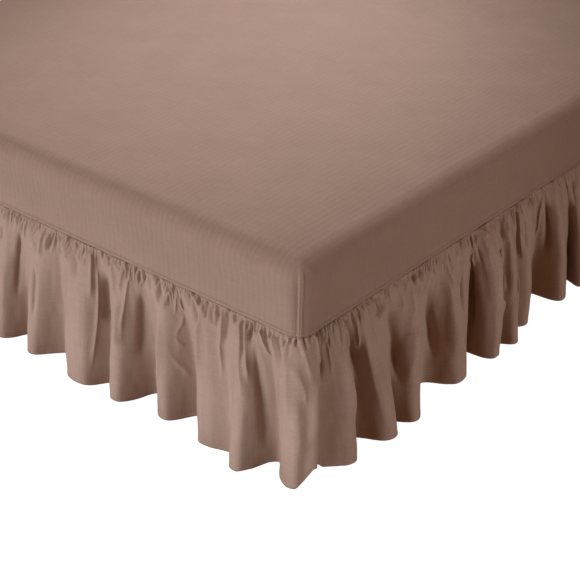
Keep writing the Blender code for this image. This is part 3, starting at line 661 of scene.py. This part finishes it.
def cover_rings(places, welt):
    """Rings of points up the wall, over the soft edge and in across the top, and their UVs."""
    x, y, out_x, out_y = seam_points(places)
    height_top = SEAM_HEIGHT + BAND_HEIGHT
    rings, flats = [], []

    def ring(out, height, down):
        radius = np.maximum(CORNER_RADIUS + out, LEAST_RADIUS)
        reach_x, reach_y = BED_LENGTH / 2 + out - radius, BED_WIDTH / 2 + out - radius
        at_x = np.clip(x, -reach_x, reach_x) + out_x * radius
        at_y = np.clip(y, -reach_y, reach_y) + out_y * radius
        rings.append(np.stack([at_x, at_y, np.full_like(x, height)], axis=1))
        flats.append(np.stack([places, np.full_like(places, down)], axis=1))

    for above, proud in BAND_PROFILE:
        waver = WAVER * np.sin(places * WAVER_PACE) * math.exp(-above / WAVER_REACH)
        ring(proud + welt * welt_share(above) + waver, SEAM_HEIGHT + above, above)
    near_welt = np.exp(-((welt_away(places) / PUCKER_WIDTH) ** 2))
    for step in range(1, EDGE_STEPS + 1):
        angle = math.pi / 2 * step / EDGE_STEPS
        inset = TOP_EDGE_RADIUS * (1 - math.cos(angle))
        height = height_top + EDGE_BULGE - TOP_EDGE_RADIUS * (1 - math.sin(angle))
        pucker = PUCKER * near_welt * ease(1 - step / PUCKER_STEPS)
        out = pucker + EDGE_BULGE - inset + welt * welt_share(height - SEAM_HEIGHT)
        ring(out, height, BAND_HEIGHT - TOP_EDGE_RADIUS * (1 - angle))
    edge = rings[-1]
    for step in range(1, TOP_RINGS + 1):
        inward = TOP_SPAN * (step / TOP_RINGS) ** TOP_SPREAD
        inner = edge.copy()
        inner[:, :2] *= 1 - inward / np.abs(edge[:, :2]).max(axis=0)
        rise = (1 - math.exp(-inward / CROWN_REACH)) * (1 - math.exp(-inward / CROWN_START))
        inner[:, 2] += CROWN * rise
        rings.append(inner)
        flats.append(flats[-1])
    points = np.stack(rings)
    from_corner = np.hypot(points[..., 0] + BED_LENGTH / 2, points[..., 1] + BED_WIDTH / 2)
    near_top = ease((points[..., 2] - SEAM_HEIGHT - FALL_FROM) / FALL_RISE)
    points[..., 2] -= CORNER_FALL * np.exp(-((from_corner / FALL_REACH) ** 2)) * near_top
    return points, np.concatenate(flats)


def lay_out(mesh, points, flat):
    """The cover's UV map in metres: the top by its plan, the band by its place and height."""
    layer = mesh.uv_layers.new(name="cloth")
    loops = np.empty(len(mesh.loops), int)
    mesh.loops.foreach_get("vertex_index", loops)
    normals = np.empty(len(mesh.polygons) * 3)
    mesh.polygons.foreach_get("normal", normals)
    totals = np.empty(len(mesh.polygons), int)
    mesh.polygons.foreach_get("loop_total", totals)
    facing = np.abs(np.repeat(normals.reshape(-1, 3), totals, axis=0))
    plan = points.reshape(-1, 3)[loops][:, :2]
    along = flat[loops]
    # The last faces of each ring run on past the near corner instead of back to its start.
    firsts = np.repeat(np.maximum.reduceat(along[:, 0], np.cumsum(totals) - totals), totals)
    along[:, 0] += np.where(firsts - along[:, 0] > 1, PERIMETER, 0)
    upright = np.where((facing[:, 0] > facing[:, 1])[:, None], along[:, ::-1], along)
    chosen = np.where((facing[:, 2] > FLAT_UP)[:, None], plan, upright)
    layer.data.foreach_set("uv", chosen.reshape(-1))


def build_cover(material):
    places, welt = wall_places()
    points, flat = cover_rings(places, welt)
    mesh = bpy.data.meshes.new("fitted_cover_cloth")
    index = np.arange(len(flat)).reshape(-1, len(places))
    after = np.roll(index, -1, axis=1)
    quads = np.stack([index[:-1], after[:-1], after[1:], index[1:]], axis=2).reshape(-1, 4)
    faces = [tuple(quad) for quad in quads.tolist()] + [tuple(index[-1].tolist())]
    mesh.from_pydata(points.reshape(-1, 3).tolist(), [], faces)
    mesh.validate()
    lay_out(mesh, points, flat)
    piece = bpy.data.objects.new("fitted_cover_cloth", mesh)
    bpy.context.scene.collection.objects.link(piece)
    mesh.shade_smooth()
    thicken(piece, COVER_CLOTH)
    mesh.materials.append(material)
    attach(piece, "root")
    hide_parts("fitted_cover")


# ---------------------------------------------------------------- finishes
def new_material(name):
    """A new material with its nodes, their links and its shader."""
    material = bpy.data.materials.new(name)
    material.use_nodes = True
    nodes, links = material.node_tree.nodes, material.node_tree.links
    return material, nodes, links, nodes["Principled BSDF"]


def add_ramp(nodes, links, tone, shader, low, high, dark, light):
    """Colours the shader from dark at the low tone to light at the high one."""
    ramp = nodes.new("ShaderNodeValToRGB")
    for element, position, color in zip(ramp.color_ramp.elements, (low, high), (dark, light)):
        element.position, element.color = position, color
    links.new(tone, ramp.inputs["Fac"])
    links.new(ramp.outputs["Color"], shader.inputs["Base Color"])


def add_bump(nodes, links, height, strength, distance):
    bump = nodes.new("ShaderNodeBump")
    bump.inputs["Strength"].default_value = strength
    bump.inputs["Distance"].default_value = distance
    links.new(height, bump.inputs["Height"])
    return bump


RIB_SCALE, RIB_WANDER = 19.6, 2.5  # faint ribs in the cloth, 16 mm apart
WEAVE_SCALE = 1600.0


def cloth_material(name, dark, light, crumple, ribbing):
    """Woven cotton: two crossed thread waves, uneven threads, and slow changes of colour.

    crumple = strength of the small creases, ribbing = of the ribs, which the Y sides don't show.
    """
    material, nodes, links, shader = new_material(name)
    shader.inputs["Roughness"].default_value = 0.82
    shader.inputs["Sheen Weight"].default_value = 0.05
    shader.inputs["Sheen Roughness"].default_value = 0.45
    shader.inputs["Sheen Tint"].default_value = (0.75, 0.55, 0.47, 1.0)
    shader.inputs["Specular Tint"].default_value = (0.9, 0.72, 0.64, 1.0)
    shader.inputs["Specular IOR Level"].default_value = 0.12
    flat = nodes.new("ShaderNodeUVMap")
    flat.uv_map = "cloth"

    def noise(scale_across, scale_down, detail):
        mapping = nodes.new("ShaderNodeMapping")
        mapping.inputs["Scale"].default_value = (scale_across, scale_down, 1.0)
        links.new(flat.outputs["UV"], mapping.inputs["Vector"])
        texture = nodes.new("ShaderNodeTexNoise")
        texture.inputs["Scale"].default_value = 1.0
        texture.inputs["Detail"].default_value = detail
        links.new(mapping.outputs["Vector"], texture.inputs["Vector"])
        return texture.outputs["Fac"]

    def threads(direction, scale=WEAVE_SCALE, wander=0.6):
        texture = nodes.new("ShaderNodeTexWave")
        texture.wave_type = "BANDS"
        texture.bands_direction = direction
        texture.inputs["Scale"].default_value = scale
        texture.inputs["Distortion"].default_value = wander
        texture.inputs["Detail"].default_value = 1.0
        links.new(flat.outputs["UV"], texture.inputs["Vector"])
        return texture.outputs["Fac"]

    def mixed(kind, first, second):
        node = nodes.new("ShaderNodeMath")
        node.operation = kind
        links.new(first, node.inputs[0])
        if isinstance(second, float):
            node.inputs[1].default_value = second
        else:
            links.new(second, node.inputs[1])
        return node.outputs[0]

    slow, grain = noise(7.0, 7.0, 3.0), noise(260.0, 260.0, 3.0)
    warp_slub, weft_slub = noise(240.0, 16.0, 2.0), noise(16.0, 240.0, 2.0)
    slubs = mixed("ADD", warp_slub, weft_slub)
    surface, split = nodes.new("ShaderNodeNewGeometry"), nodes.new("ShaderNodeSeparateXYZ")
    links.new(surface.outputs["Normal"], split.inputs["Vector"])
    off_side = mixed("SUBTRACT", mixed("MULTIPLY", split.outputs["Y"], split.outputs["Y"]), 1.0)
    rib_share = mixed("MULTIPLY", off_side, -ribbing)
    ribs = mixed("MULTIPLY", threads("Y", RIB_SCALE, RIB_WANDER), rib_share)
    quick = mixed("ADD", mixed("MULTIPLY", slubs, 0.30), mixed("MULTIPLY", grain, 0.50))
    tone = mixed("ADD", mixed("ADD", mixed("MULTIPLY", slow, 0.30), quick), ribs)
    add_ramp(nodes, links, tone, shader, 0.54, 0.90, dark, light)

    crossed = mixed("MULTIPLY", threads("X"), threads("Y"))
    fine = mixed("ADD", mixed("MULTIPLY", crossed, 0.5), mixed("MULTIPLY", slubs, 0.6))
    thread_bump = add_bump(nodes, links, fine, 0.35, 0.0003)
    crumple_bump = add_bump(nodes, links, noise(38.0, 24.0, 4.0), crumple, 0.002)
    links.new(thread_bump.outputs["Normal"], crumple_bump.inputs["Normal"])
    links.new(crumple_bump.outputs["Normal"], shader.inputs["Normal"])
    return material


def grained_material(name, dark, light, roughness, stretch, bump):
    """A plain surface with a grain: stretch = how close the grain lies along X, Y and Z."""
    material, nodes, links, shader = new_material(name)
    shader.inputs["Roughness"].default_value = roughness
    place = nodes.new("ShaderNodeTexCoord")
    mapping = nodes.new("ShaderNodeMapping")
    mapping.inputs["Scale"].default_value = stretch
    links.new(place.outputs["Object"], mapping.inputs["Vector"])
    grain = nodes.new("ShaderNodeTexNoise")
    grain.inputs["Scale"].default_value = 1.0
    grain.inputs["Detail"].default_value = 5.0
    grain.inputs["Distortion"].default_value = 0.4
    links.new(mapping.outputs["Vector"], grain.inputs["Vector"])
    weave = nodes.new("ShaderNodeTexWave")
    weave.bands_direction = "DIAGONAL"
    weave.inputs["Scale"].default_value = 260.0
    weave.inputs["Distortion"].default_value = 2.0
    links.new(place.outputs["Object"], weave.inputs["Vector"])
    mixer = nodes.new("ShaderNodeMix")
    mixer.data_type = "FLOAT"
    mixer.inputs[0].default_value = 0.25
    links.new(grain.outputs["Fac"], mixer.inputs[2])
    links.new(weave.outputs["Fac"], mixer.inputs[3])
    add_ramp(nodes, links, mixer.outputs[0], shader, 0.32, 0.68, dark, light)
    relief = add_bump(nodes, links, mixer.outputs[0], bump, 0.0006)
    links.new(relief.outputs["Normal"], shader.inputs["Normal"])
    return material


def finish_plain_parts():
    """The mattress, bed base and feet keep their own shapes and get their finishes."""
    ticking = grained_material(
        "mattress_ticking", (0.66, 0.63, 0.58, 1), (0.80, 0.78, 0.73, 1),
        roughness=0.85, stretch=(240, 240, 240), bump=0.5,
    )
    upholstery = grained_material(
        "base_upholstery", (0.21, 0.20, 0.18, 1), (0.31, 0.29, 0.27, 1),
        roughness=0.90, stretch=(320, 320, 320), bump=0.7,
    )
    wood = grained_material(
        "stained_foot_wood", (0.065, 0.030, 0.014, 1), (0.150, 0.080, 0.042, 1),
        roughness=0.42, stretch=(150, 150, 9), bump=0.25,
    )
    finishes = {"mattress": ticking, "bed_base": upholstery}
    finishes.update({f"foot_{number}": wood for number in range(1, 7)})
    for name, material in finishes.items():
        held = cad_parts[name].material_slots[0]
        held.link = "OBJECT"
        held.material = material


cover_cloth = cloth_material(
    "taupe_percale", (0.325, 0.216, 0.172, 1), (0.395, 0.272, 0.222, 1), crumple=0.10, ribbing=0.09
)
# The frill is the same percale as the cover, painted lighter: painted light standing in for the
# light its folds catch.
frill_cloth_with_painted_light = cloth_material(
    "taupe_frill_percale_painted_light", (0.400, 0.276, 0.224, 1), (0.486, 0.346, 0.288, 1),
    crumple=0.30, ribbing=0.0,
)
finish_plain_parts()
build_cover(cover_cloth)
build_frill(frill_cloth_with_painted_light)


# ---------------------------------------------------------------- floor, light and camera
FLOOR_SIZE = 160.0  # wide enough that its edge never shows


def build_floor():
    bpy.ops.object.select_all(action="DESELECT")
    bpy.ops.mesh.primitive_plane_add(size=FLOOR_SIZE, location=(0, 0, 0))
    floor = bpy.context.object
    floor.name = "floor"
    material, _, _, shader = new_material("pale_floor")
    shader.inputs["Base Color"].default_value = (0.40, 0.40, 0.40, 1)
    shader.inputs["Roughness"].default_value = 0.9
    shader.inputs["Emission Color"].default_value = (1, 1, 1, 1)
    shader.inputs["Emission Strength"].default_value = 1.0
    floor.data.materials.append(material)
    floor.visible_diffuse = False
    floor.visible_glossy = False


def hang(light, place, target):
    """Puts a lamp at a place and turns it to face a target. The lamp itself isn't seen."""
    holder = bpy.data.objects.new(light.name, light)
    bpy.context.scene.collection.objects.link(holder)
    holder.visible_camera = False
    holder.location = place
    holder.rotation_euler = (Vector(target) - Vector(place)).to_track_quat("-Z", "Y").to_euler()


def spot_light(name, place, target, cone, share, color, softness):
    """A soft pool of light. share = the brightness it gives a surface that faces it."""
    light = bpy.data.lights.new(name, "SPOT")
    light.spot_size = math.radians(cone)
    light.spot_blend = 1.0
    light.shadow_soft_size = softness
    light.color = color
    light.energy = 4 * math.pi**2 * math.dist(place, target) ** 2 * share
    hang(light, place, target)


def sun_light(name, direction, spread, share, color):
    """A wide, soft light from far off. share = the brightness it gives a surface that faces it."""
    light = bpy.data.lights.new(name, "SUN")
    light.angle = math.radians(spread)
    light.energy = math.pi * share
    light.color = color
    hang(light, direction, (0, 0, 0))


def card_light(name, place, target, size, glow, color):
    """A flat lit card. size = its width and height, glow = its own brightness."""
    light = bpy.data.lights.new(name, "AREA")
    light.shape = "RECTANGLE"
    light.size, light.size_y = size
    light.color = color
    light.energy = math.pi * size[0] * size[1] * glow
    hang(light, place, target)


FOCAL_PIXELS, IMAGE_PIXELS = 1363.858, 580
CAMERA_AZIMUTH, CAMERA_TILT, CAMERA_ROLL = 0.679860, 0.529426, 0.020944
CAMERA_DISTANCE = 2.9173
CORNER_PIXEL = (300.402, 340.816)


def build_camera():
    """The camera looks down at the near corner: the corner of the seam lies at CORNER_PIXEL."""
    turn, tilt, roll = CAMERA_AZIMUTH, CAMERA_TILT, CAMERA_ROLL
    level = np.array((math.cos(turn), math.sin(turn), 0.0)) * math.cos(tilt)
    ahead = level - (0.0, 0.0, math.sin(tilt))
    right = np.array((math.sin(turn), -math.cos(turn), 0.0))
    up = np.cross(right, ahead)
    right, up = (
        math.cos(roll) * right + math.sin(roll) * up,
        -math.sin(roll) * right + math.cos(roll) * up,
    )
    across, down = ((pixel - IMAGE_PIXELS / 2) / FOCAL_PIXELS for pixel in CORNER_PIXEL)
    ray = ahead + across * right - down * up
    corner = np.array((-BED_LENGTH / 2, -BED_WIDTH / 2, SEAM_HEIGHT))
    place = corner - ray / (ray @ ahead) * CAMERA_DISTANCE
    camera = bpy.data.cameras.new("camera")
    camera.sensor_width = 36.0
    camera.lens = FOCAL_PIXELS / IMAGE_PIXELS * camera.sensor_width
    camera.clip_end = 100.0
    holder = bpy.data.objects.new("camera", camera)
    bpy.context.scene.collection.objects.link(holder)
    matrix = Matrix.Identity(4)
    for row in range(3):
        matrix[row][0], matrix[row][1] = right[row], up[row]
        matrix[row][2], matrix[row][3] = -ahead[row], place[row]
    holder.matrix_world = matrix
    bpy.context.scene.camera = holder


build_floor()
build_camera()
spot_light(
    "back_spot", (5.30, 2.50, 4.80), (-0.19, 0.0, 0.56),
    cone=16.4, share=0.93, color=(1.0, 1.0, 1.02), softness=0.35,
)
spot_light(
    "front_fill", (1.13, -6.60, 0.6), (-0.85, -0.90, 0.30),
    cone=35, share=0.342, color=(1.0, 1.0, 1.0), softness=0.70,
)
sun_light("left_window", (-0.88, 0.17, 0.08), spread=45, share=0.675, color=(1.0, 1.02, 1.07))
card_light(
    "left_card", (-2.70, 0.0, 0.50), (-1.0, 0.0, 0.30),
    size=(1.4, 1.0), glow=0.52, color=(0.92, 1.0, 1.02),
)
sun_light("back_light", (0.62, 0.55, 0.46), spread=30, share=0.27, color=(1.0, 1.02, 1.05))
sun_light("top_light", (-0.62, 0.36, 0.70), spread=40, share=0.19, color=(1.0, 1.0, 1.02))
card_light(
    "left_floor_bounce", (-1.40, 0.0, 0.004), (-1.40, 0.0, 1.0),
    size=(0.50, 2.6), glow=0.74, color=(0.86, 1.0, 1.03),
)
world = bpy.data.worlds.new("studio")
world.use_nodes = True
world.node_tree.nodes["Background"].inputs["Color"].default_value = (1.0, 0.48, 0.18, 1)
world.node_tree.nodes["Background"].inputs["Strength"].default_value = 0.13
bpy.context.scene.world = world
bpy.context.scene.view_settings.view_transform = "Standard"
